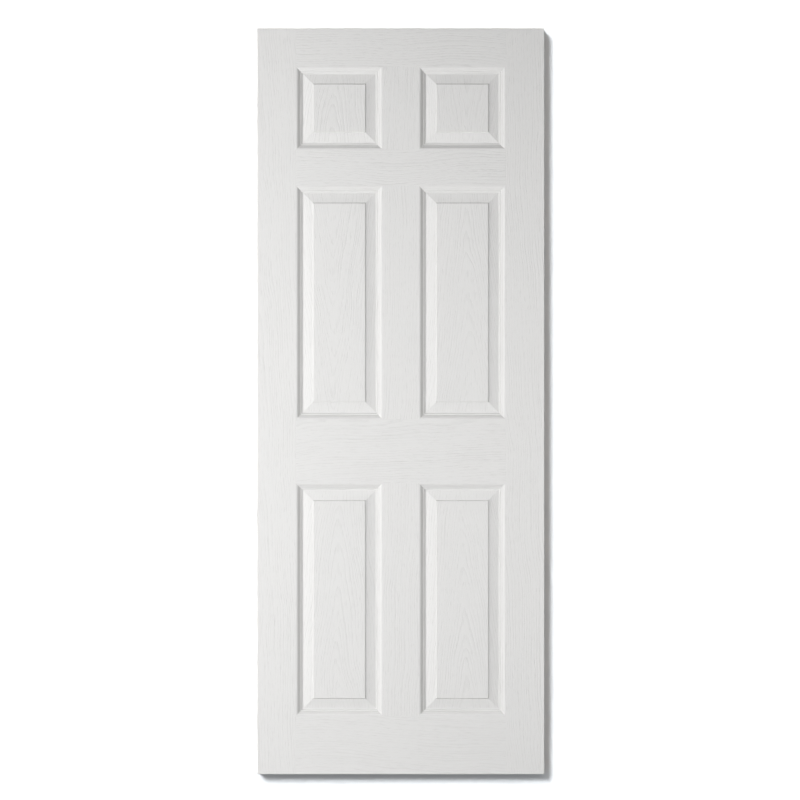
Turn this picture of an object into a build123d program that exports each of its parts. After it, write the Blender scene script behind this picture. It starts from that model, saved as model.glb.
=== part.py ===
from build123d import *
import math
import os

# Interior door leaf, six moulded panels, hollow core. Millimetres.
# +Z up, X across the width, Y through the thickness. The front face is at -Y.
# The origin is at the middle of the bottom edge.

# ---- driving dimensions -------------------------------------------------
LEAF_W = 762.0          # standard 2 ft 6 in leaf
LEAF_H = 1981.0         # standard 6 ft 6 in leaf
LEAF_T = 35.0
SKIN_T = 3.2            # pressed hardboard skin
ARRIS = 0.8             # eased outer edge of each skin

STILE_FACE = 102.5      # plain width beside the panels
PANEL_W = 230.3         # panel opening, outer edge of the moulding
BOTTOM_RAIL = 155.0     # plain heights, from the bottom up
BOTTOM_PANEL = 617.5
LOCK_RAIL = 170.0
MIDDLE_PANEL = 620.5
FRIEZE_RAIL = 95.8
TOP_PANEL = 220.2

FIELD_D = 0.5           # panel field, set back from the face
RING_W = 52.0           # outer edge of the moulding to inside the plain field

FRAME_W = 30.0          # softwood frame, seen width
BLOCK_W = 70.0          # lock block, from the stile inwards
BLOCK_Z0 = 720.0
BLOCK_H = 400.0

CELL = 60.0             # honeycomb, flat to flat
PAPER_T = 0.5
CORE_GAP = 3.0          # core to frame
CRUSH_GAP = 0.3         # core to moulded part of the skin

STAPLE_W = 12.0         # crown
STAPLE_LEG = 12.0
STAPLE_WIRE = 1.2
STAPLE_CROWN_T = 0.9
VENT_W = 3.0            # vent groove across each rail
VENT_D = 2.0
VENT_X = 176.0

FRAME_T = LEAF_T - 2 * SKIN_T
HALF_W = LEAF_W / 2
HALF_T = LEAF_T / 2
MUNTIN = LEAF_W - 2 * STILE_FACE - 2 * PANEL_W

# ---- panel layout: x0, x1, z0, z1 of each opening -----------------------
z_b0 = BOTTOM_RAIL
z_b1 = z_b0 + BOTTOM_PANEL
z_m0 = z_b1 + LOCK_RAIL
z_m1 = z_m0 + MIDDLE_PANEL
z_t0 = z_m1 + FRIEZE_RAIL
z_t1 = z_t0 + TOP_PANEL
columns = [(-MUNTIN / 2 - PANEL_W, -MUNTIN / 2), (MUNTIN / 2, MUNTIN / 2 + PANEL_W)]
rows = [(z_b0, z_b1), (z_m0, z_m1), (z_t0, z_t1)]
panels = [(x0, x1, z0, z1) for z0, z1 in rows for x0, x1 in columns]

# ---- moulding section ---------------------------------------------------
# s runs inwards from the outer edge of the moulding, d runs into the door from its face.
# Front: eased shoulder, round and its fall, quirk, slope, fillet, step, shallow valley,
# long bevel, steep rise to the field.
P_SHOULDER = (0.4, 0.03)
P_ROUND_MID = (3.0, 0.42)
P_ROUND_END = (5.2, 1.42)
P_FALL_END = (8.6, 3.7)
P_QUIRK_END = (9.75, 3.9)
P_SLOPE_END = (12.0, 6.0)
P_FILLET_END = (14.7, 5.7)
P_STEP_END = (15.7, 8.1)
P_VALLEY_MID = (18.0, 8.17)
P_VALLEY_END = (20.6, 7.95)
P_BEVEL_END = (44.9, 2.95)
P_RISE_END = (46.2, 1.1)
P_FIELD = (47.0, FIELD_D)

# Rear: the same pressing seen from inside, softened, about SKIN_T from the front.
R_ROUND_MID = (3.2, 4.25)
R_ROUND_END = (7.3, 6.95)
R_SLOPE_END = (10.2, 9.0)
R_FILLET_END = (12.2, 9.2)
R_STEP_END = (13.8, 11.25)
R_VALLEY_MID = (17.5, 11.5)
R_VALLEY_END = (21.2, 11.15)
R_BEVEL_END = (46.3, 6.1)
R_FIELD = (49.0, FIELD_D + SKIN_T)


def ring_section(x0, x1, z0, z1):
    """The moulding's closed section, standing at the middle of an opening's left side."""
    zc = (z0 + z1) / 2

    def at(p):
        return (x0 + p[0], -HALF_T + p[1], zc)

    face_end = (RING_W, FIELD_D)
    rear_end = (RING_W, FIELD_D + SKIN_T)
    outer = (0.0, 0.0)
    outer_rear = (0.0, SKIN_T)
    edges = [
        Line(at(outer), at(P_SHOULDER)),
        ThreePointArc(at(P_SHOULDER), at(P_ROUND_MID), at(P_ROUND_END)),
        Line(at(P_ROUND_END), at(P_FALL_END)),
        Line(at(P_FALL_END), at(P_QUIRK_END)),
        Line(at(P_QUIRK_END), at(P_SLOPE_END)),
        Line(at(P_SLOPE_END), at(P_FILLET_END)),
        Line(at(P_FILLET_END), at(P_STEP_END)),
        ThreePointArc(at(P_STEP_END), at(P_VALLEY_MID), at(P_VALLEY_END)),
        Line(at(P_VALLEY_END), at(P_BEVEL_END)),
        Line(at(P_BEVEL_END), at(P_RISE_END)),
        Line(at(P_RISE_END), at(P_FIELD)),
        Line(at(P_FIELD), at(face_end)),
        Line(at(face_end), at(rear_end)),
        Line(at(rear_end), at(R_FIELD)),
        Line(at(R_FIELD), at(R_BEVEL_END)),
        Line(at(R_BEVEL_END), at(R_VALLEY_END)),
        ThreePointArc(at(R_VALLEY_END), at(R_VALLEY_MID), at(R_STEP_END)),
        Line(at(R_STEP_END), at(R_FILLET_END)),
        Line(at(R_FILLET_END), at(R_SLOPE_END)),
        Line(at(R_SLOPE_END), at(R_ROUND_END)),
        ThreePointArc(at(R_ROUND_END), at(R_ROUND_MID), at(outer_rear)),
        Line(at(outer_rear), at(outer)),
    ]
    return Face(Wire([e.edge() if hasattr(e, "edge") else e for e in edges]))


def box(x0, x1, y0, y1, z0, z1):
    return Pos((x0 + x1) / 2, (y0 + y1) / 2, (z0 + z1) / 2) * Box(x1 - x0, y1 - y0, z1 - z0)


def solid_from(shape):
    solids = shape.solids()
    assert len(solids) == 1, len(solids)
    return solids[0]


# ---- skins --------------------------------------------------------------
def moulded_panel(x0, x1, z0, z1):
    """One panel: the mitred moulding all round and the field inside it."""
    zc = (z0 + z1) / 2
    path = Wire.make_polygon(
        [
            (x0, -HALF_T, zc),
            (x0, -HALF_T, z1),
            (x1, -HALF_T, z1),
            (x1, -HALF_T, z0),
            (x0, -HALF_T, z0),
        ],
        close=True,
    )
    ring = sweep(sections=ring_section(x0, x1, z0, z1), path=path, transition=Transition.RIGHT)
    field = box(
        x0 + RING_W,
        x1 - RING_W,
        -HALF_T + FIELD_D,
        -HALF_T + FIELD_D + SKIN_T,
        z0 + RING_W,
        z1 - RING_W,
    )
    return ring, field


plate = box(-HALF_W, HALF_W, -HALF_T, -HALF_T + SKIN_T, 0, LEAF_H)
outer_edges = plate.faces().sort_by(Axis.Y)[0].edges()
plate = chamfer(outer_edges, ARRIS)
for x0, x1, z0, z1 in panels:
    plate = plate - box(x0, x1, -HALF_T - 5, HALF_T, z0, z1)
pieces = []
for p in panels:
    pieces += list(moulded_panel(*p))
front_skin = solid_from(plate.fuse(*pieces) if hasattr(plate, "fuse") else plate + pieces)
back_skin = solid_from(mirror(front_skin, about=Plane.XZ))


# ---- staples ------------------------------------------------------------
def staple(x, z, side):
    """Crown across the joint at x, flush with the wood on the given side (-1 front, +1 back), legs inwards."""
    y_out = side * FRAME_T / 2
    y_crown = y_out - side * STAPLE_CROWN_T
    y_tip = y_out - side * STAPLE_LEG
    ya, yb = sorted((y_out, y_crown))
    yc, yd = sorted((y_out, y_tip))
    h = STAPLE_WIRE / 2
    body = box(x - STAPLE_W / 2, x + STAPLE_W / 2, ya, yb, z - h, z + h)
    for sx in (-1, 1):
        xa, xb = sorted((x + sx * STAPLE_W / 2, x + sx * (STAPLE_W / 2 - STAPLE_WIRE)))
        body = body + box(xa, xb, yc, yd, z - h, z + h)
    return solid_from(body)


joint_x = HALF_W - FRAME_W
corner_places = [
    (sx * joint_x, z)
    for sx in (-1, 1)
    for z in (
        FRAME_W * 0.3,
        FRAME_W * 0.7,
        LEAF_H - FRAME_W * 0.7,
        LEAF_H - FRAME_W * 0.3,
    )
]
corner_staples = [staple(x, z, side) for x, z in corner_places for side in (-1, 1)]
block_places = [
    (sx * joint_x, z)
    for sx in (-1, 1)
    for z in (BLOCK_Z0 + 40, BLOCK_Z0 + BLOCK_H / 2, BLOCK_Z0 + BLOCK_H - 40)
]
block_staples = [staple(x, z, side) for x, z in block_places for side in (-1, 1)]


# ---- softwood frame -----------------------------------------------------
def stile(sx):
    xa, xb = sorted((sx * HALF_W, sx * joint_x))
    s = box(xa, xb, -FRAME_T / 2, FRAME_T / 2, 0, LEAF_H)
    near = [q for q in corner_staples + block_staples if q.center().X * sx > 0]
    return solid_from(s.cut(*near))


def rail(z0, z1):
    r = box(-joint_x, joint_x, -FRAME_T / 2, FRAME_T / 2, z0, z1)
    near = [q for q in corner_staples if z0 < q.center().Z < z1]
    grooves = [
        box(x - VENT_W / 2, x + VENT_W / 2, FRAME_T / 2 - VENT_D, FRAME_T / 2 + 1, z0 - 1, z1 + 1)
        for x in (-VENT_X, VENT_X)
    ]
    return solid_from(r.cut(*near, *grooves))


def lock_block(sx):
    xa, xb = sorted((sx * joint_x, sx * (joint_x - BLOCK_W)))
    b = box(xa, xb, -FRAME_T / 2, FRAME_T / 2, BLOCK_Z0, BLOCK_Z0 + BLOCK_H)
    near = [q for q in block_staples if q.center().X * sx > 0]
    return solid_from(b.cut(*near))


left_stile = stile(-1)
right_stile = stile(1)
bottom_rail = rail(0, FRAME_W)
top_rail = rail(LEAF_H - FRAME_W, LEAF_H)
left_lock_block = lock_block(-1)
right_lock_block = lock_block(1)


# ---- honeycomb core -----------------------------------------------------
def rect_corners(x0, x1, z0, z1, s, y):
    return [
        Vector(x0 + s, y, z0 + s),
        Vector(x1 - s, y, z0 + s),
        Vector(x1 - s, y, z1 - s),
        Vector(x0 + s, y, z1 - s),
    ]


def crushed_zone(panel, side):
    """The space that one moulded panel takes from the core, as nested rectangles joined by flat faces."""
    g = CRUSH_GAP
    section = [
        (-1.5, SKIN_T),
        (R_ROUND_END[0] - 1.0, R_ROUND_END[1] + g + 0.8),
        (R_STEP_END[0] - 0.8, R_VALLEY_MID[1] + g),
        (R_VALLEY_END[0] + 0.6, R_VALLEY_MID[1] + g),
        (R_BEVEL_END[0] + 0.8, R_BEVEL_END[1] + g + 0.3),
        (R_FIELD[0] + 1.2, R_FIELD[1] + g),
    ]
    loops = [rect_corners(*panel, s, side * (HALF_T - d)) for s, d in section]
    faces = [
        Face(Wire.make_polygon([lo[i], lo[(i + 1) % 4], hi[(i + 1) % 4], hi[i]], close=True))
        for lo, hi in zip(loops, loops[1:])
        for i in range(4)
    ]
    faces.append(Face(Wire.make_polygon(loops[0], close=True)))
    faces.append(Face(Wire.make_polygon(loops[-1], close=True)))
    return Solid(Shell(faces))


def hexagon(cx, cz):
    """A cell's hollow, seen from the front, pointed at the top."""
    r = (CELL - PAPER_T) / math.sqrt(3)
    return [
        (cx + r * math.sin(math.radians(60 * i)), cz + r * math.cos(math.radians(60 * i)))
        for i in range(6)
    ]


core_x = joint_x - CORE_GAP
core_z0 = FRAME_W + CORE_GAP
core_z1 = LEAF_H - FRAME_W - CORE_GAP
pitch_z = CELL * math.sqrt(3) / 2
y_core = -FRAME_T / 2

inner, border = [], []
row = 0
z = core_z0 + 12.0
while z < core_z1 + pitch_z:
    x = -core_x - CELL + (CELL / 2 if row % 2 else 0)
    while x < core_x + CELL:
        pts = hexagon(x, z)
        clear = all(
            -core_x + 1 < px < core_x - 1 and core_z0 + 1 < pz < core_z1 - 1 for px, pz in pts
        )
        near_block = any(
            abs(px) > joint_x - BLOCK_W - CORE_GAP - 1
            and BLOCK_Z0 - CORE_GAP - 1 < pz < BLOCK_Z0 + BLOCK_H + CORE_GAP + 1
            for px, pz in pts
        )
        (inner if clear and not near_block else border).append(pts)
        x += CELL
    row += 1
    z += pitch_z


def flat_face(pts):
    return Face(Wire.make_polygon([Vector(px, y_core, pz) for px, pz in pts], close=True))


outline = flat_face(
    [(-core_x, core_z0), (core_x, core_z0), (core_x, core_z1), (-core_x, core_z1)]
)
block_room = [
    flat_face(
        [
            (sx * (core_x + 5), BLOCK_Z0 - CORE_GAP),
            (sx * (joint_x - BLOCK_W - CORE_GAP), BLOCK_Z0 - CORE_GAP),
            (sx * (joint_x - BLOCK_W - CORE_GAP), BLOCK_Z0 + BLOCK_H + CORE_GAP),
            (sx * (core_x + 5), BLOCK_Z0 + BLOCK_H + CORE_GAP),
        ]
    )
    for sx in (-1, 1)
]
net = outline.cut(*block_room, *[flat_face(p) for p in border])
net_face = max(net.faces(), key=lambda f: f.area)
net_face = net_face.make_holes(
    [Wire.make_polygon([Vector(px, y_core, pz) for px, pz in p], close=True) for p in inner]
)
core_block = Solid.extrude(net_face, Vector(0, FRAME_T, 0))
core = core_block.cut(*[crushed_zone(p, side) for p in panels for side in (-1, 1)])
honeycomb_core = max(core.solids(), key=lambda s: s.volume)

# ---- write --------------------------------------------------------------
nodes = {
    "front_skin": front_skin,
    "back_skin": back_skin,
    "left_stile": left_stile,
    "right_stile": right_stile,
    "top_rail": top_rail,
    "bottom_rail": bottom_rail,
    "left_lock_block": left_lock_block,
    "right_lock_block": right_lock_block,
    "honeycomb_core": honeycomb_core,
    "corner_staples": Compound(corner_staples),
    "block_staples": Compound(block_staples),
}
os.makedirs("parts", exist_ok=True)
for name, shape in nodes.items():
    export_step(shape, f"parts/{name}.step")
    print(name, len(shape.solids()), round(shape.volume / 1000, 2), "cm3")
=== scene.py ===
import math

import bpy
import numpy as np
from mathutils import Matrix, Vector


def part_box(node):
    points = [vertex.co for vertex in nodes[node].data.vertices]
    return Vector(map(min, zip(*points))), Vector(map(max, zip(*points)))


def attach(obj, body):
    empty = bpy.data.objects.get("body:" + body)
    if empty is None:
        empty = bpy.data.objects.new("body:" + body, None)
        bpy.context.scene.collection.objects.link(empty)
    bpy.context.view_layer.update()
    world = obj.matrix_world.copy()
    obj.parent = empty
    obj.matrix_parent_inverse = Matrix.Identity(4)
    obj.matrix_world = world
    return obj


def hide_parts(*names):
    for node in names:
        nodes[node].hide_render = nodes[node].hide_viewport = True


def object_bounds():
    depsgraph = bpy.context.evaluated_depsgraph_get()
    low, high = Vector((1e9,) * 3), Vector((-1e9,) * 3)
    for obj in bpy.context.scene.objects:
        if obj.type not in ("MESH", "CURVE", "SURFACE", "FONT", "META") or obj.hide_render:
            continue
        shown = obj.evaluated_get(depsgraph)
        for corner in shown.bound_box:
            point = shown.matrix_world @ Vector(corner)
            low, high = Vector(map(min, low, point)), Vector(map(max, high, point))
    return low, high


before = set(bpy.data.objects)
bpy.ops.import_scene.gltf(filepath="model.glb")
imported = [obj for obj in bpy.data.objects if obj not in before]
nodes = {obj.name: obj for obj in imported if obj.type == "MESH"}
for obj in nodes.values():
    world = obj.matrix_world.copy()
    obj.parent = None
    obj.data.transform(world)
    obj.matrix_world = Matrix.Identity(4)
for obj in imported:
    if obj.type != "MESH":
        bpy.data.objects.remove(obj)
cad_lo, cad_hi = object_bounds()
scene = bpy.context.scene

# ------------------------------------------------------------------ sizes
# Millimetres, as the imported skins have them. x across, z up, d into the leaf from its face.
lo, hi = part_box("front_skin")
LEAF_W = round((hi.x - lo.x) * 1000, 3)
LEAF_H = round((hi.z - lo.z) * 1000, 3)
LEAF_T = round((cad_hi.y - cad_lo.y) * 1000, 3)
HALF_W = LEAF_W / 2
HALF_T = LEAF_T / 2
SKIN_T = 3.2
ARRIS = 0.8
STILE_FACE = 102.5
PANEL_W = 230.3
MUNTIN = LEAF_W - 2 * STILE_FACE - 2 * PANEL_W
Z_LINES = [155.0, 772.5, 942.5, 1563.0, 1658.8, 1879.0]
X_LINES = [
    -HALF_W + STILE_FACE,
    -MUNTIN / 2,
    MUNTIN / 2,
    HALF_W - STILE_FACE,
]
FIELD_D = 0.5
RING_W = 52.0
STICKING_W = 20.0  # the moulding proper; the bevel and the field lie inside it
GROOVE_W, GROOVE_D = 1.0, 0.3


# ---------------------------------------------------------------- profile
def arc3(p, q, r, n):
    """Points on the circle through p, q and r, from p to r."""
    (ax, ay), (bx, by), (cx, cy) = p, q, r
    d = 2 * (ax * (by - cy) + bx * (cy - ay) + cx * (ay - by))
    ux = ((ax**2 + ay**2) * (by - cy) + (bx**2 + by**2) * (cy - ay) + (cx**2 + cy**2) * (ay - by)) / d
    uy = ((ax**2 + ay**2) * (cx - bx) + (bx**2 + by**2) * (ax - cx) + (cx**2 + cy**2) * (bx - ax)) / d
    rad = math.hypot(ax - ux, ay - uy)
    a0 = math.atan2(ay - uy, ax - ux)
    am = math.atan2(by - uy, bx - ux)
    a1 = math.atan2(cy - uy, cx - ux)

    def near(a, ref):
        while a - ref > math.pi:
            a -= 2 * math.pi
        while a - ref < -math.pi:
            a += 2 * math.pi
        return a

    am = near(am, a0)
    a1 = near(a1, am)
    return [(ux + rad * math.cos(a0 + (a1 - a0) * i / n), uy + rad * math.sin(a0 + (a1 - a0) * i / n)) for i in range(n + 1)]


FRONT = (
    [(-8.0, 0.0), (0.0, 0.0)]
    + arc3((0.4, 0.03), (3.0, 0.42), (5.2, 1.42), 16)
    + [(8.6, 3.7), (9.75, 3.9), (12.0, 6.0), (14.7, 5.7)]
    + arc3((15.7, 8.1), (18.0, 8.17), (20.6, 7.95), 10)
    + [(44.9, 2.95), (46.2, 1.1), (47.0, FIELD_D), (60.0, FIELD_D)]
)
REAR = (
    [(-8.0, SKIN_T), (0.0, SKIN_T)]
    + arc3((0.0, SKIN_T), (3.2, 4.25), (7.3, 6.95), 8)[1:]
    + [(10.2, 9.0), (12.2, 9.2)]
    + arc3((13.8, 11.25), (17.5, 11.5), (21.2, 11.15), 10)
    + [(46.3, 6.1), (49.0, FIELD_D + SKIN_T), (60.0, FIELD_D + SKIN_T)]
)


def simplify(s, d, tol):
    """Keeps the points that a straight line between its neighbours would miss by more than tol."""
    keep = {0, len(s) - 1}
    todo = [(0, len(s) - 1)]
    while todo:
        a, b = todo.pop()
        if b - a < 2:
            continue
        line = d[a] + (d[b] - d[a]) * (s[a:b] - s[a]) / (s[b] - s[a])
        off = np.abs(d[a:b] - line)
        m = int(off.argmax())
        if off[m] > tol:
            keep.add(a + m)
            todo += [(a, a + m), (a + m, b)]
    return sorted(keep)


def soft_profile(points, soften, tol, extra=()):
    """(s, d) pairs from 0 to RING_W: the section softened as a pressing is, with short strips beside each wide flat."""
    pts = np.array(points)
    s = np.arange(-6.0, 58.0001, 0.05)
    d = np.interp(s, pts[:, 0], pts[:, 1])
    k = np.arange(-40, 41) * 0.05
    g = np.exp(-0.5 * (k / soften) ** 2)
    smooth = np.convolve(np.pad(d, 40, mode="edge"), g / g.sum(), mode="valid")
    inside = (s > -1e-6) & (s < RING_W + 1e-6)
    s, d = s[inside], smooth[inside]
    d[0] = points[0][1]
    d[-1] = points[-1][1]
    idx = sorted(set(simplify(s, d, tol)) | {int(np.abs(s - e).argmin()) for e in extra})
    out = []
    for a, b in zip(idx, idx[1:]):
        out.append((s[a], d[a]))
        if s[b] - s[a] > 1.2:
            for t in (0.15, s[b] - s[a] - 0.15):
                out.append((s[a] + t, d[a] + (d[b] - d[a]) * t / (s[b] - s[a])))
    out.append((s[idx[-1]], d[idx[-1]]))
    return out


# painted shade along the section, a greyer primer colour where shade falls: down the quirk and the fillet, at the foot
# of the step, and on the rise to the field; its strength differs for each side of a panel (bottom, right, top, left),
# after how the light falls on that side
PAINTED_SHADE_STICKING = [(4.6, 0.0), (5.4, 0.6), (8.4, 0.9), (9.8, 0.9), (11.7, 1.0), (12.1, 0.0), (14.6, 0.0), (14.9, 1.0), (16.6, 1.0), (17.4, 0.0)]
PAINTED_SHADE_RISE = [(44.8, 0.0), (45.1, 1.0), (46.7, 1.0), (47.3, 0.0)]
PAINTED_SHADE_BY_SIDE = [(0.45, 0.1), (0.4, 0.0), (0.1, 0.65), (0.9, 0.3)]


def painted_shade_at(s, side):
    line, share = (PAINTED_SHADE_STICKING, PAINTED_SHADE_BY_SIDE[side][0]) if s < 30 else (PAINTED_SHADE_RISE, PAINTED_SHADE_BY_SIDE[side][1])
    return share * float(np.interp(s, [a for a, _ in line], [b for _, b in line]))


FRONT_PROFILE = soft_profile(FRONT, 0.22, 0.006, [a for a, _ in PAINTED_SHADE_STICKING + PAINTED_SHADE_RISE])
REAR_PROFILE = soft_profile(REAR, 0.5, 0.03)


# ------------------------------------------------------------------ skins
def skin_mesh(name):
    """One pressed skin, front face at -Y: the moulded face, its plain inner side and its cut edges."""
    arris = [(0.0, ARRIS), (0.1, 0.46), (0.25, 0.25), (0.46, 0.1), (ARRIS, 0.0), (ARRIS + 0.3, 0.0)]
    g = GROOVE_W
    xs = {round(-HALF_W + a, 4) for a, _ in arris} | {round(HALF_W - a, 4) for a, _ in arris}
    zs = {round(a, 4) for a, _ in arris} | {round(LEAF_H - a, 4) for a, _ in arris}
    xs |= {round(x, 4) for x in X_LINES}
    zs |= {round(z, 4) for z in Z_LINES}
    # joint lines between stiles and rails stand in the stiles, those between muntins and rails in the rails
    x_grooves, z_grooves = [], []
    for x, out in ((X_LINES[0], -1), (X_LINES[3], 1)):
        line = [x + out * g * t for t in (0.2, 0.5, 0.8, 1.1)]
        xs |= {round(v, 4) for v in line}
        x_grooves.append(round(line[1], 4))
    for i, z in enumerate(Z_LINES):
        out = -1 if i % 2 == 0 else 1
        line = [z + out * g * t for t in (0.2, 0.5, 0.8, 1.1)]
        zs |= {round(v, 4) for v in line}
        z_grooves.append(round(line[1], 4))
    xs, zs = sorted(xs), sorted(zs)

    def edge_drop(t, size):
        t = min(t, size - t)
        if t >= ARRIS:
            return 0.0
        return float(np.interp(t, [a for a, _ in arris], [b for _, b in arris]))

    rail_z = [(0, Z_LINES[0]), (Z_LINES[1], Z_LINES[2]), (Z_LINES[3], Z_LINES[4]), (Z_LINES[5], LEAF_H)]

    def level(x, z):
        d = max(edge_drop(x + HALF_W, LEAF_W), edge_drop(z, LEAF_H))
        if x in x_grooves and any(a < z < b for a, b in rail_z):
            d = max(d, GROOVE_D)
        if z in z_grooves and abs(x) < MUNTIN / 2:
            d = max(d, GROOVE_D)
        return d

    # the muntin's joint line needs points inside the muntin's width
    xs = sorted(set(xs) | {round(s * (MUNTIN / 2 - 0.3), 4) for s in (-1, 1)})

    verts, faces, mats, grain, seeds, kinds, corner_painted_shade = [], [], [], [], [], [], []
    index = {}

    def vert(x, y, z, tag):
        key = (round(x, 4), round(y, 4), round(z, 4), tag)
        if key not in index:
            index[key] = len(verts)
            verts.append((x / 1000, y / 1000, z / 1000))
        return index[key]

    def add(corners, mat, uv, seed, kind, quad_painted_shade=(0.0, 0.0, 0.0, 0.0)):
        faces.append(corners)
        mats.append(mat)
        grain.extend(uv)
        corner_painted_shade.extend(quad_painted_shade)
        seeds.append(seed)
        kinds.append(kind)

    def region(x, z):
        """(along which axis the grain runs, seed, cathedral share) of a plain part of the face."""
        if abs(x) > HALF_W - STILE_FACE:
            return "z", (1.0 if x < 0 else 2.0), 0.25
        for i, (a, b) in enumerate(rail_z):
            if a < z < b:
                return "x", 3.0 + i, 0.15
        for i, (a, b) in enumerate(((Z_LINES[0], Z_LINES[1]), (Z_LINES[2], Z_LINES[3]), (Z_LINES[4], Z_LINES[5]))):
            if a < z < b:
                return "z", 8.0 + i, 0.0
        raise ValueError((x, z))

    def in_opening(x, z):
        return any(a < x < b for a, b in ((X_LINES[0], X_LINES[1]), (X_LINES[2], X_LINES[3]))) and any(
            a < z < b for a, b in ((Z_LINES[0], Z_LINES[1]), (Z_LINES[2], Z_LINES[3]), (Z_LINES[4], Z_LINES[5]))
        )

    centre_z = {3: 79, 4: 856.5, 5: 1611, 6: 1930.5}
    for x0, x1 in zip(xs, xs[1:]):
        for z0, z1 in zip(zs, zs[1:]):
            xm, zm = (x0 + x1) / 2, (z0 + z1) / 2
            if in_opening(xm, zm):
                continue
            corners = [(x0, z0), (x1, z0), (x1, z1), (x0, z1)]
            way, seed, cath = region(xm, zm)
            if way == "z":
                xc = (-1 if xm < 0 else 1) * (HALF_W - STILE_FACE / 2) if abs(xm) > HALF_W - STILE_FACE else 0.0
                uv = [((x - xc) / 1000, z / 1000) for x, z in corners]
            else:
                zc = centre_z[int(seed)]
                uv = [((z - zc) / 1000, x / 1000 + 0.5) for x, z in corners]
            f = [vert(x, -HALF_T + level(x, z), z, "f") for x, z in corners]
            add(f, 0, uv, seed, cath)
            b = [vert(x, -HALF_T + SKIN_T, z, "b") for x, z in reversed(corners)]
            add(b, 2, [(x / 1000, z / 1000) for x, z in reversed(corners)], 30.0, 0.0)

    # panels: nested rectangles of the front and of the inner side
    columns = ((X_LINES[0], X_LINES[1]), (X_LINES[2], X_LINES[3]))
    prows = ((Z_LINES[0], Z_LINES[1]), (Z_LINES[2], Z_LINES[3]), (Z_LINES[4], Z_LINES[5]))

    def rect(x0, x1, z0, z1, s):
        return [(x0 + s, z0 + s), (x1 - s, z0 + s), (x1 - s, z1 - s), (x0 + s, z1 - s)]

    sharp = set()
    for pi, (z0, z1) in enumerate(prows):
        for ci, (x0, x1) in enumerate(columns):
            panel_seed = 11.0 + pi * 2 + ci
            for profile, back in ((FRONT_PROFILE, False), (REAR_PROFILE, True)):
                tag = "b" if back else "f"
                run = 0.0
                for (s0, d0), (s1, d1) in zip(profile, profile[1:]):
                    a, b = rect(x0, x1, z0, z1, s0), rect(x0, x1, z0, z1, s1)
                    step = math.hypot(s1 - s0, d1 - d0)
                    for i in range(4):
                        j = (i + 1) % 4
                        pts = [(a[i], d0), (a[j], d0), (b[j], d1), (b[i], d1)]
                        v = [vert(p[0], -HALF_T + d, p[1], tag) for p, d in pts]
                        sharp.add(frozenset((v[0], v[3])))
                        sharp.add(frozenset((v[1], v[2])))
                        if back:
                            add(v[::-1], 2, [(p[0] / 1000, p[1] / 1000) for p, _ in pts][::-1], 30.0, 0.0)
                            continue
                        # painted shade in the moulding's recesses, set for this side of the panel
                        quad_painted_shade = [painted_shade_at(s, i) for s in (s0, s0, s1, s1)]
                        if (s0 + s1) / 2 < STICKING_W:
                            along = [(p[0] if i % 2 == 0 else p[1]) / 1000 + 0.6 for p, _ in pts]
                            across = [run / 1000, run / 1000, (run + step) / 1000, (run + step) / 1000]
                            uv = list(zip(across, along))
                            add(v, 0, uv, 20.0 + pi * 8 + ci * 4 + i, 0.0, quad_painted_shade)
                        else:
                            xc = (x0 + x1) / 2
                            uv = [((p[0] - xc) / 1000, p[1] / 1000) for p, _ in pts]
                            add(v, 0, uv, panel_seed, 1.0, quad_painted_shade)
                    run += step
                s, d = profile[-1]
                last = rect(x0, x1, z0, z1, s)
                v = [vert(p[0], -HALF_T + d, p[1], tag) for p in last]
                if back:
                    add(v[::-1], 2, [(p[0] / 1000, p[1] / 1000) for p in last][::-1], 30.0, 0.0)
                else:
                    xc = (x0 + x1) / 2
                    add(v, 0, [((p[0] - xc) / 1000, p[1] / 1000) for p in last], panel_seed, 1.0)

    # cut edges all round, with a loop just under the painted arris
    def wall(points):
        for p, q in zip(points, points[1:]):
            top = [vert(*p_at(p, level(*p)), "f"), vert(*p_at(q, level(*q)), "f")]
            bottom = [vert(*p_at(p, SKIN_T), "b"), vert(*p_at(q, SKIN_T), "b")]
            sharp.add(frozenset(top))
            sharp.add(frozenset(bottom))
            run = [(v[0] + v[1]) / 1000 for v in (p, q)]
            add(
                [top[1], top[0], bottom[0], bottom[1]],
                1,
                [(run[1], 0.0), (run[0], 0.0), (run[0], 0.0032), (run[1], 0.0032)],
                31.0,
                0.0,
            )

    def p_at(p, d):
        return p[0], -HALF_T + d, p[1]

    wall([(x, 0.0) for x in xs])
    wall([(HALF_W, z) for z in zs])
    wall([(x, LEAF_H) for x in reversed(xs)])
    wall([(-HALF_W, z) for z in reversed(zs)])

    mesh = bpy.data.meshes.new(name)
    mesh.from_pydata(verts, [], faces)
    mesh.polygons.foreach_set("material_index", mats)
    mesh.polygons.foreach_set("use_smooth", [True] * len(faces))
    uv = mesh.uv_layers.new(name="grain")
    uv.data.foreach_set("uv", np.array(grain, np.float32).ravel())
    a = mesh.attributes.new("seed", "FLOAT", "FACE")
    a.data.foreach_set("value", np.array(seeds, np.float32))
    a = mesh.attributes.new("cathedral", "FLOAT", "FACE")
    a.data.foreach_set("value", np.array(kinds, np.float32))
    # painted shade of the moulding's recesses, for each face corner
    a = mesh.attributes.new("recess_shade_paint", "FLOAT", "CORNER")
    a.data.foreach_set("value", np.array(corner_painted_shade, np.float32))
    mesh.update()
    flags = [frozenset(e.vertices) in sharp for e in mesh.edges]
    at = mesh.attributes.get("sharp_edge") or mesh.attributes.new("sharp_edge", "BOOLEAN", "EDGE")
    at.data.foreach_set("value", flags)
    mesh.validate()
    return mesh


def object_from(mesh, name):
    obj = bpy.data.objects.new(name, mesh)
    scene.collection.objects.link(obj)
    return obj


front = object_from(skin_mesh("front_skin_moulded"), "front_skin_moulded")
back_mesh = skin_mesh("back_skin_moulded")
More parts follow.
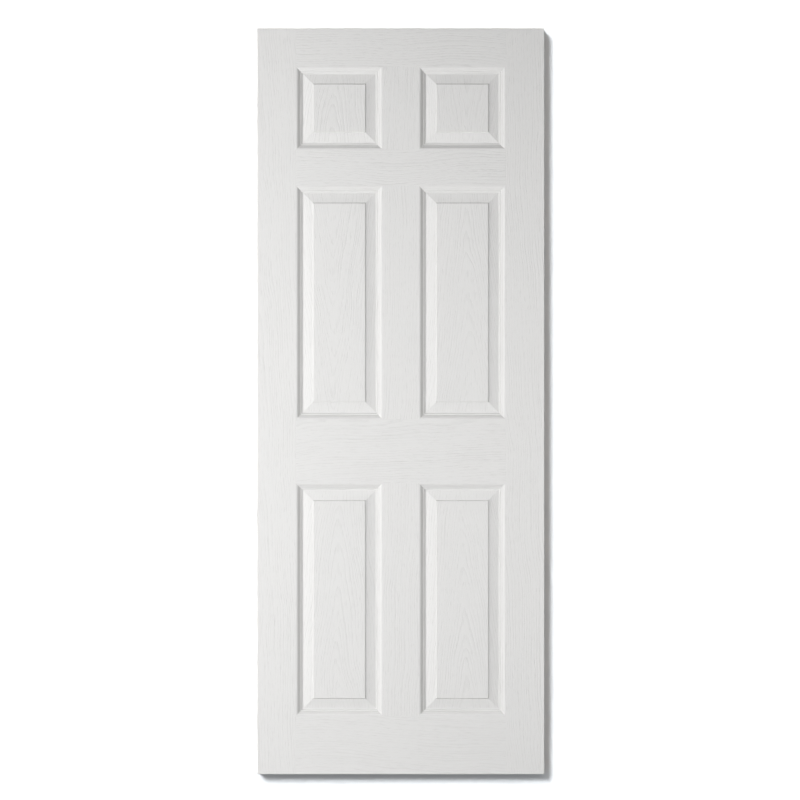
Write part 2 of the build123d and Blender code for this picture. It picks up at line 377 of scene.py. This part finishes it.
# the other face carries the same pressing, turned about the upright axis
co = np.zeros(len(back_mesh.vertices) * 3)
back_mesh.vertices.foreach_get("co", co)
co = co.reshape(-1, 3) * (-1, -1, 1)
back_mesh.vertices.foreach_set("co", co.ravel())
back_mesh.update()
back = object_from(back_mesh, "back_skin_moulded")


# -------------------------------------------------------------- materials
class Tree:
    """Short calls for building a node tree."""

    def __init__(self, name):
        self.mat = bpy.data.materials.new(name)
        self.mat.use_nodes = True
        self.nt = self.mat.node_tree
        self.nt.nodes.clear()
        self.out = self.nt.nodes.new("ShaderNodeOutputMaterial")
        self.bsdf = self.nt.nodes.new("ShaderNodeBsdfPrincipled")
        self.nt.links.new(self.bsdf.outputs[0], self.out.inputs[0])

    def node(self, kind, **props):
        n = self.nt.nodes.new(kind)
        for k, v in props.items():
            setattr(n, k, v)
        return n

    def put(self, socket, value):
        if hasattr(value, "is_output"):
            self.nt.links.new(value, socket)
        elif value is not None:
            socket.default_value = value

    def math(self, op, a, b=None, c=None, clamp=False):
        n = self.node("ShaderNodeMath", operation=op, use_clamp=clamp)
        for i, v in enumerate((a, b, c)):
            if v is not None:
                self.put(n.inputs[i], v)
        return n.outputs[0]

    def xyz(self, x, y, z):
        n = self.node("ShaderNodeCombineXYZ")
        for i, v in enumerate((x, y, z)):
            self.put(n.inputs[i], v)
        return n.outputs[0]

    def noise(self, vector, scale=1.0, detail=2.0, rough=0.5, distortion=0.0):
        n = self.node("ShaderNodeTexNoise", noise_dimensions="3D")
        self.put(n.inputs["Vector"], vector)
        n.inputs["Scale"].default_value = scale
        n.inputs["Detail"].default_value = detail
        n.inputs["Roughness"].default_value = rough
        n.inputs["Distortion"].default_value = distortion
        return n.outputs["Fac"] if "Fac" in n.outputs else n.outputs[0]

    def ramp(self, value, lo, hi, to_lo=0.0, to_hi=1.0, kind="SMOOTHSTEP"):
        n = self.node("ShaderNodeMapRange", interpolation_type=kind)
        self.put(n.inputs["Value"], value)
        n.inputs["From Min"].default_value = lo
        n.inputs["From Max"].default_value = hi
        n.inputs["To Min"].default_value = to_lo
        n.inputs["To Max"].default_value = to_hi
        return n.outputs["Result"]

    def mix(self, fac, a, b):
        n = self.node("ShaderNodeMix", data_type="RGBA")
        self.put(n.inputs[0], fac)
        self.put(n.inputs[6], a if hasattr(a, "is_output") else (*a, 1.0))
        self.put(n.inputs[7], b if hasattr(b, "is_output") else (*b, 1.0))
        return n.outputs[2]

    def bump(self, height, distance, strength=1.0):
        n = self.node("ShaderNodeBump")
        n.inputs["Strength"].default_value = strength
        n.inputs["Distance"].default_value = distance
        self.put(n.inputs["Height"], height)
        return n.outputs[0]


def grain_sockets(t):
    uv = t.node("ShaderNodeUVMap", uv_map="grain").outputs[0]
    sep = t.node("ShaderNodeSeparateXYZ")
    t.put(sep.inputs[0], uv)
    seed = t.node("ShaderNodeAttribute", attribute_name="seed").outputs["Fac"]
    cath = t.node("ShaderNodeAttribute", attribute_name="cathedral").outputs["Fac"]
    return sep.outputs[0], sep.outputs[1], seed, cath


def primed_material():
    """White primer over a pressed woodgrain: growth rings arched on the panels and nearly straight elsewhere, fine fibres
    and short pores."""
    t = Tree("white_primer_woodgrain")
    u, v, seed, cath = grain_sockets(t)
    off = t.math("MULTIPLY", seed, 7.31)
    side = t.math("SINE", t.math("MULTIPLY", seed, 3.7))
    flip = t.math("SIGN", t.math("SINE", t.math("MULTIPLY", seed, 2.3)))
    # the heart of the sawn board: inside a panel, outside the straight-grained pieces, wandering along its length
    slow = t.math("SUBTRACT", t.noise(t.xyz(off, t.math("MULTIPLY", v, 2.6), 0.5), detail=1.0), 0.5)
    straight = t.math("SUBTRACT", 1.0, cath)
    heart = t.math("MULTIPLY_ADD", t.math("SIGN", side), t.math("MULTIPLY", straight, 0.075), t.math("MULTIPLY", side, 0.016))
    heart = t.math("MULTIPLY_ADD", slow, 0.055, heart)
    x = t.math("SUBTRACT", u, heart)
    # each ring is a cone round the heart, so the cut shows nested arches whose legs run along the board
    radius = t.math("SQRT", t.math("MULTIPLY_ADD", x, x, 0.00016))
    taper = t.math("MULTIPLY", flip, t.math("MULTIPLY_ADD", cath, 0.115, 0.02))
    ripple = t.noise(t.xyz(t.math("MULTIPLY", u, 16.0), t.math("MULTIPLY", v, 6.0), off), detail=3.0, rough=0.5)
    rings = t.math("MULTIPLY_ADD", v, taper, radius)
    rings = t.math("MULTIPLY_ADD", t.math("SUBTRACT", ripple, 0.5), 0.022, rings)
    rings = t.math("MULTIPLY", rings, 148.0)
    uneven = t.noise(t.xyz(t.math("MULTIPLY", rings, 0.37), t.math("MULTIPLY", v, 0.7), t.math("ADD", off, 2.2)), detail=1.0)
    rings = t.math("MULTIPLY_ADD", uneven, 2.4, rings)
    saw = t.math("FRACT", rings)
    line = t.math("MULTIPLY", t.ramp(saw, 0.45, 0.93), t.ramp(saw, 1.0, 0.94))
    # a ring fades in and out along its length, and whole patches are fainter
    strength = t.ramp(t.noise(t.xyz(t.math("MULTIPLY", rings, 0.9), t.math("MULTIPLY", v, 5.0), t.math("ADD", off, 4.4)), detail=1.0), 0.34, 0.62, 0.2, 1.0)
    patch = t.ramp(t.noise(t.xyz(t.math("MULTIPLY", u, 11.0), t.math("MULTIPLY", v, 4.5), t.math("ADD", off, 6.6)), detail=2.0), 0.38, 0.6, 0.35, 1.0)
    groove = t.math("MULTIPLY", line, t.math("MULTIPLY", strength, patch))
    # fibres and pores: long and narrow along the grain, the pores crowding near the rings
    bent = t.math("MULTIPLY_ADD", slow, 0.02, u)
    fibres = t.noise(t.xyz(t.math("MULTIPLY", bent, 380.0), t.math("MULTIPLY", v, 12.0), off), detail=3.0, rough=0.62)
    ticks = t.noise(t.xyz(t.math("MULTIPLY", bent, 850.0), t.math("MULTIPLY", v, 48.0), t.math("ADD", off, 3.3)), detail=1.0)
    pores = t.math("MULTIPLY", t.ramp(ticks, 0.55, 0.66), t.math("MULTIPLY_ADD", t.ramp(saw, 0.2, 0.95), 0.75, 0.25))
    height = t.math("SUBTRACT", t.math("MULTIPLY", fibres, 0.19), t.math("MULTIPLY", groove, 0.22))
    height = t.math("SUBTRACT", height, t.math("MULTIPLY", pores, 0.18))
    t.put(t.bsdf.inputs["Normal"], t.bump(height, 0.001))
    # colour: painted shade down in the grain's grooves and pores, with a very slow warm and cool drift
    drift = t.noise(t.xyz(t.math("MULTIPLY", u, 9.0), t.math("MULTIPLY", v, 6.0), off), detail=2.0)
    base = t.mix(drift, (0.806, 0.804, 0.795), (0.818, 0.811, 0.800))
    # painted shade in the grain's grooves and pores
    grain_painted_shade = t.math("MAXIMUM", t.math("MULTIPLY", groove, 0.22), t.math("MULTIPLY", pores, 0.35))
    base = t.mix(grain_painted_shade, base, (0.665, 0.66, 0.65))
    # painted shade: the moulding's recesses greyed, more on some sides of a panel than others
    corner_painted_shade = t.node("ShaderNodeAttribute", attribute_name="recess_shade_paint").outputs["Fac"]
    base = t.mix(t.math("MULTIPLY", corner_painted_shade, 0.85), base, (0.63, 0.622, 0.61))
    t.put(t.bsdf.inputs["Base Color"], base)
    t.put(t.bsdf.inputs["Roughness"], t.ramp(fibres, 0.2, 0.8, 0.52, 0.66, "LINEAR"))
    t.bsdf.inputs["Specular IOR Level"].default_value = 0.2
    return t.mat


def board_material(name, light, dark, scale):
    """Pressed fibreboard: short matted fibres, darker flecks."""
    t = Tree(name)
    co = t.node("ShaderNodeTexCoord").outputs["Object"]
    fine = t.noise(co, scale=scale, detail=4.0, rough=0.65)
    fleck = t.ramp(t.noise(co, scale=scale * 0.4, detail=2.0), 0.55, 0.7)
    base = t.mix(fine, light, dark)
    base = t.mix(t.math("MULTIPLY", fleck, 0.5), base, tuple(0.6 * c for c in dark))
    t.put(t.bsdf.inputs["Base Color"], base)
    t.put(t.bsdf.inputs["Roughness"], t.ramp(fine, 0.2, 0.8, 0.7, 0.9, "LINEAR"))
    t.put(t.bsdf.inputs["Normal"], t.bump(fine, 0.0002))
    return t.mat


def pine_material(name, axis, centre, tint=(1.0, 1.0, 1.0)):
    """Raw softwood: growth rings about a pith beside the piece and fibres along its length."""
    t = Tree(name)
    co = t.node("ShaderNodeTexCoord").outputs["Object"]
    sep = t.node("ShaderNodeSeparateXYZ")
    t.put(sep.inputs[0], co)
    x, y, z = sep.outputs
    if axis == "z":
        a, b, c = x, y, z
    else:
        a, b, c = z, y, x
    bend = t.math("SUBTRACT", t.noise(t.xyz(t.math("MULTIPLY", a, 6.0), t.math("MULTIPLY", b, 6.0), t.math("MULTIPLY", c, 1.3)), detail=2.0), 0.5)
    a1 = t.math("ADD", t.math("MULTIPLY_ADD", bend, 0.03, a), -centre[0])
    b1 = t.math("ADD", t.math("MULTIPLY_ADD", bend, 0.02, b), -centre[1])
    radius = t.math("SQRT", t.math("ADD", t.math("MULTIPLY", a1, a1), t.math("MULTIPLY", b1, b1)))
    uneven = t.noise(t.xyz(t.math("MULTIPLY", radius, 90.0), 0.0, t.math("MULTIPLY", c, 0.4)), detail=1.0)
    phase = t.math("FRACT", t.math("ADD", t.math("MULTIPLY", radius, 260.0), t.math("MULTIPLY", uneven, 2.2)))
    late = t.math("MULTIPLY", t.ramp(phase, 0.35, 0.9), t.ramp(phase, 1.0, 0.93))
    fibres = t.noise(t.xyz(t.math("MULTIPLY", a, 1500.0), t.math("MULTIPLY", b, 1500.0), t.math("MULTIPLY", c, 30.0)), detail=2.0)
    cloud = t.noise(t.xyz(t.math("MULTIPLY", a, 14.0), t.math("MULTIPLY", b, 14.0), t.math("MULTIPLY", c, 3.0)), detail=2.0)

    def tinted(c3):
        return tuple(p * q for p, q in zip(c3, tint))

    base = t.mix(cloud, tinted((0.70, 0.50, 0.29)), tinted((0.78, 0.59, 0.37)))
    base = t.mix(t.math("MULTIPLY", late, 0.75), base, tinted((0.47, 0.27, 0.12)))
    base = t.mix(t.math("MULTIPLY", t.ramp(fibres, 0.45, 0.75), 0.28), base, tinted((0.42, 0.26, 0.13)))
    t.put(t.bsdf.inputs["Base Color"], base)
    t.put(t.bsdf.inputs["Roughness"], t.ramp(late, 0.0, 1.0, 0.72, 0.58, "LINEAR"))
    t.put(t.bsdf.inputs["Normal"], t.bump(t.math("ADD", t.math("MULTIPLY", fibres, 0.6), t.math("MULTIPLY", late, 0.4)), 0.00015))
    t.bsdf.inputs["Specular IOR Level"].default_value = 0.3
    return t.mat


def kraft_material():
    t = Tree("kraft_paper")
    co = t.node("ShaderNodeTexCoord").outputs["Object"]
    fibre = t.noise(co, scale=900.0, detail=4.0, rough=0.7)
    cloud = t.noise(co, scale=60.0, detail=3.0)
    base = t.mix(cloud, (0.42, 0.28, 0.16), (0.50, 0.35, 0.21))
    base = t.mix(t.ramp(fibre, 0.5, 0.8, 0.0, 0.5), base, (0.30, 0.19, 0.10))
    t.put(t.bsdf.inputs["Base Color"], base)
    t.put(t.bsdf.inputs["Normal"], t.bump(fibre, 0.0001))
    t.bsdf.inputs["Roughness"].default_value = 0.85
    return t.mat


def steel_material():
    t = Tree("staple_steel")
    co = t.node("ShaderNodeTexCoord").outputs["Object"]
    sep = t.node("ShaderNodeSeparateXYZ")
    t.put(sep.inputs[0], co)
    x, y, z = sep.outputs
    drawn = t.noise(t.xyz(t.math("MULTIPLY", x, 200.0), t.math("MULTIPLY", y, 200.0), t.math("MULTIPLY", z, 9000.0)), detail=2.0)
    t.put(t.bsdf.inputs["Base Color"], t.mix(drawn, (0.55, 0.55, 0.56), (0.68, 0.68, 0.69)))
    t.bsdf.inputs["Metallic"].default_value = 1.0
    t.put(t.bsdf.inputs["Roughness"], t.ramp(drawn, 0.2, 0.8, 0.28, 0.42, "LINEAR"))
    t.put(t.bsdf.inputs["Normal"], t.bump(drawn, 0.00002))
    return t.mat


primer = primed_material()
hdf_edge = board_material("fibreboard_cut_edge", (0.40, 0.27, 0.17), (0.30, 0.19, 0.115), 900.0)
hdf_inner = board_material("fibreboard_inner_face", (0.34, 0.22, 0.135), (0.25, 0.16, 0.095), 500.0)
for obj in (front, back):
    for m in (primer, hdf_edge, hdf_inner):
        obj.data.materials.append(m)


def dress(node, mat):
    obj = nodes[node]
    obj.data.materials.clear()
    obj.data.materials.append(mat)


dress("left_stile", pine_material("pine_left_stile", "z", (-0.42, 0.05), (1.03, 1.08, 1.20)))
dress("right_stile", pine_material("pine_right_stile", "z", (0.45, -0.04), (1.06, 1.12, 1.28)))
dress("top_rail", pine_material("pine_top_rail", "x", (2.03, 0.03), (1.02, 1.06, 1.16)))
dress("bottom_rail", pine_material("pine_bottom_rail", "x", (-0.05, -0.03), (1.03, 1.08, 1.20)))
dress("left_lock_block", pine_material("pine_left_block", "z", (-0.30, 0.06), (0.96, 0.97, 1.0)))
dress("right_lock_block", pine_material("pine_right_block", "z", (0.30, -0.06), (0.96, 0.97, 1.0)))
dress("honeycomb_core", kraft_material())
steel = steel_material()
dress("corner_staples", steel)
dress("block_staples", steel)

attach(front, "root")
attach(back, "root")
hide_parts("front_skin")
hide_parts("back_skin")


# ------------------------------------------------------------------ stage
def stage_mesh(name, verts, faces):
    mesh = bpy.data.meshes.new(name)
    mesh.from_pydata(verts, [], faces)
    mesh.update()
    obj = object_from(mesh, name)
    return obj


def plain_white(name, one_sided, colour=(0.9, 0.9, 0.9)):
    mat = bpy.data.materials.new(name)
    mat.use_nodes = True
    nt = mat.node_tree
    nt.nodes.clear()
    out = nt.nodes.new("ShaderNodeOutputMaterial")
    diffuse = nt.nodes.new("ShaderNodeBsdfDiffuse")
    diffuse.inputs[0].default_value = (*colour, 1)
    if one_sided:
        clear = nt.nodes.new("ShaderNodeBsdfTransparent")
        mix = nt.nodes.new("ShaderNodeMixShader")
        geo = nt.nodes.new("ShaderNodeNewGeometry")
        nt.links.new(geo.outputs["Backfacing"], mix.inputs[0])
        nt.links.new(diffuse.outputs[0], mix.inputs[1])
        nt.links.new(clear.outputs[0], mix.inputs[2])
        nt.links.new(mix.outputs[0], out.inputs[0])
    else:
        nt.links.new(diffuse.outputs[0], out.inputs[0])
    return mat


WALL_Y = HALF_T / 1000 + 0.0015
FLOOR_Z = -0.080
R = 30.0
wall = stage_mesh(
    "backdrop",
    [(-R, WALL_Y, FLOOR_Z), (R, WALL_Y, FLOOR_Z), (R, WALL_Y, R), (-R, WALL_Y, R)],
    [(0, 1, 2, 3)],
)
floor = stage_mesh(
    "floor",
    [(-R, -R, FLOOR_Z), (R, -R, FLOOR_Z), (R, R, FLOOR_Z), (-R, R, FLOOR_Z)],
    [(0, 1, 2, 3)],
)
# a little cool, which leaves the shadow beside the bare wood edge neutral
wall.data.materials.append(plain_white("backdrop_white", True, (0.87, 0.9, 0.93)))
floor.data.materials.append(plain_white("floor_white", False))
for o in (wall, floor):
    o.visible_diffuse = False
    o.visible_glossy = False
    o.visible_transmission = False
wall.visible_shadow = False

# ----------------------------------------------------------------- lights
stage_only = bpy.data.collections.new("stage_receivers")
leaf_only = bpy.data.collections.new("leaf_receivers")
for o in (wall, floor):
    stage_only.objects.link(o)
behind_only = bpy.data.collections.new("edge_and_back_receivers")
for o in [front, back] + [n for k, n in nodes.items() if k not in ("front_skin", "back_skin")]:
    leaf_only.objects.link(o)
    if o is not front:
        behind_only.objects.link(o)


def aim(obj, target):
    d = Vector(target) - obj.location
    obj.rotation_mode = "QUATERNION"
    obj.rotation_quaternion = d.to_track_quat("-Z", "Y")


def light(name, kind, location, target, energy, receivers, size=None, angle=None):
    data = bpy.data.lights.new(name, kind)
    data.energy = energy
    if kind == "AREA":
        data.shape = "RECTANGLE"
        data.size, data.size_y = size
    if angle is not None:
        data.angle = angle
    obj = bpy.data.objects.new(name, data)
    scene.collection.objects.link(obj)
    obj.location = location
    aim(obj, target)
    obj.light_linking.receiver_collection = receivers
    obj.visible_camera = False
    return obj


MIDDLE = (0.0, 0.0, 0.9)
light("key_left", "AREA", (-3.9, -2.1, 0.5), MIDDLE, 87.0, leaf_only, size=(1.2, 1.2))
light("key_left_front", "AREA", (-3.0, -3.7, 0.5), MIDDLE, 34.0, leaf_only, size=(1.2, 1.2))
light("key_left_high", "AREA", (-2.4, -1.5, 1.9), MIDDLE, 19.5, leaf_only, size=(0.8, 0.8))
light("key_left_low", "AREA", (-2.4, -1.8, 0.05), MIDDLE, 4.6, leaf_only, size=(0.8, 0.2))
light("front", "AREA", (-0.6, -4.0, 0.9), MIDDLE, 45.0, leaf_only, size=(2.5, 2.5))
light("front_low", "AREA", (-1.0, -3.2, 0.1), MIDDLE, 13.0, leaf_only, size=(1.2, 0.4))
light("fill_right", "AREA", (2.4, -1.6, 0.7), MIDDLE, 18.0, leaf_only, size=(0.8, 0.8))
light("fill_right_low", "AREA", (0.8, -2.6, 0.15), MIDDLE, 5.0, leaf_only, size=(1.0, 0.6))
# behind the leaf's face, so that the back, the edges and the top show in other views; the right edge is kept on the
# dim side, because what it reflects falls on the shadow beside it
light("back_key", "AREA", (-2.6, 3.2, 1.8), MIDDLE, 122.0, behind_only, size=(1.2, 1.2))
light("back_fill", "AREA", (0.6, 3.9, 0.8), MIDDLE, 42.0, behind_only, size=(1.6, 1.6))
light("edge_right", "AREA", (3.2, 0.4, 1.3), (0.0, 0.0, 1.0), 9.0, behind_only, size=(1.2, 1.2))
light("top", "AREA", (0.0, 0.3, 4.4), (0.0, 0.0, 1.0), 58.0, behind_only, size=(1.6, 1.6))
# the backdrop has its own light: a soft sun that throws the leaf's narrow shadow down to the right, and an even dome
light("wall_sun", "SUN", (-21.8 / 36.0, -1.0, 23.7 / 36.0), (0.0, 0.0, 0.0), 3.72, stage_only, angle=math.radians(20.5))
light("wall_dome", "SUN", (0.0, -1.0, 0.6), (0.0, 0.0, 0.0), 1.40, stage_only, angle=math.radians(175))

world = bpy.data.worlds.new("studio")
scene.world = world
world.use_nodes = True
wn = world.node_tree
wn.nodes.clear()
wout = wn.nodes.new("ShaderNodeOutputWorld")
seen = wn.nodes.new("ShaderNodeBackground")
seen.inputs[0].default_value = (1, 1, 1, 1)
seen.inputs[1].default_value = 1.0
ambient = wn.nodes.new("ShaderNodeBackground")
ambient.inputs[0].default_value = (1, 1, 1, 1)
ambient.inputs[1].default_value = 0.004
path = wn.nodes.new("ShaderNodeLightPath")
wmix = wn.nodes.new("ShaderNodeMixShader")
wn.links.new(path.outputs["Is Camera Ray"], wmix.inputs[0])
wn.links.new(ambient.outputs[0], wmix.inputs[1])
wn.links.new(seen.outputs[0], wmix.inputs[2])
wn.links.new(wmix.outputs[0], wout.inputs[0])

# ----------------------------------------------------------------- camera
MM_PER_PX = 2.6557  # at the leaf's face
FACE_Y = -HALF_T / 1000
DISTANCE = 7.0
cam_data = bpy.data.cameras.new("camera")
cam = bpy.data.objects.new("camera", cam_data)
scene.collection.objects.link(cam)
cam_data.sensor_width = 36.0
cam_data.lens = 36.0 * DISTANCE / (800 * MM_PER_PX / 1000)
cam_data.clip_end = 100.0
cam.location = (-0.77 * MM_PER_PX / 1000, FACE_Y - DISTANCE, LEAF_H / 2000 + 1.25 * MM_PER_PX / 1000)
cam.rotation_euler = (math.pi / 2, 0, 0)
scene.camera = cam

scene.cycles.use_light_tree = False  # with linked lights the tree gives uneven levels from one run to the next
scene.view_settings.view_transform = "Standard"
scene.view_settings.look = "None"
scene.view_settings.exposure = 0.0
scene.view_settings.gamma = 1.0
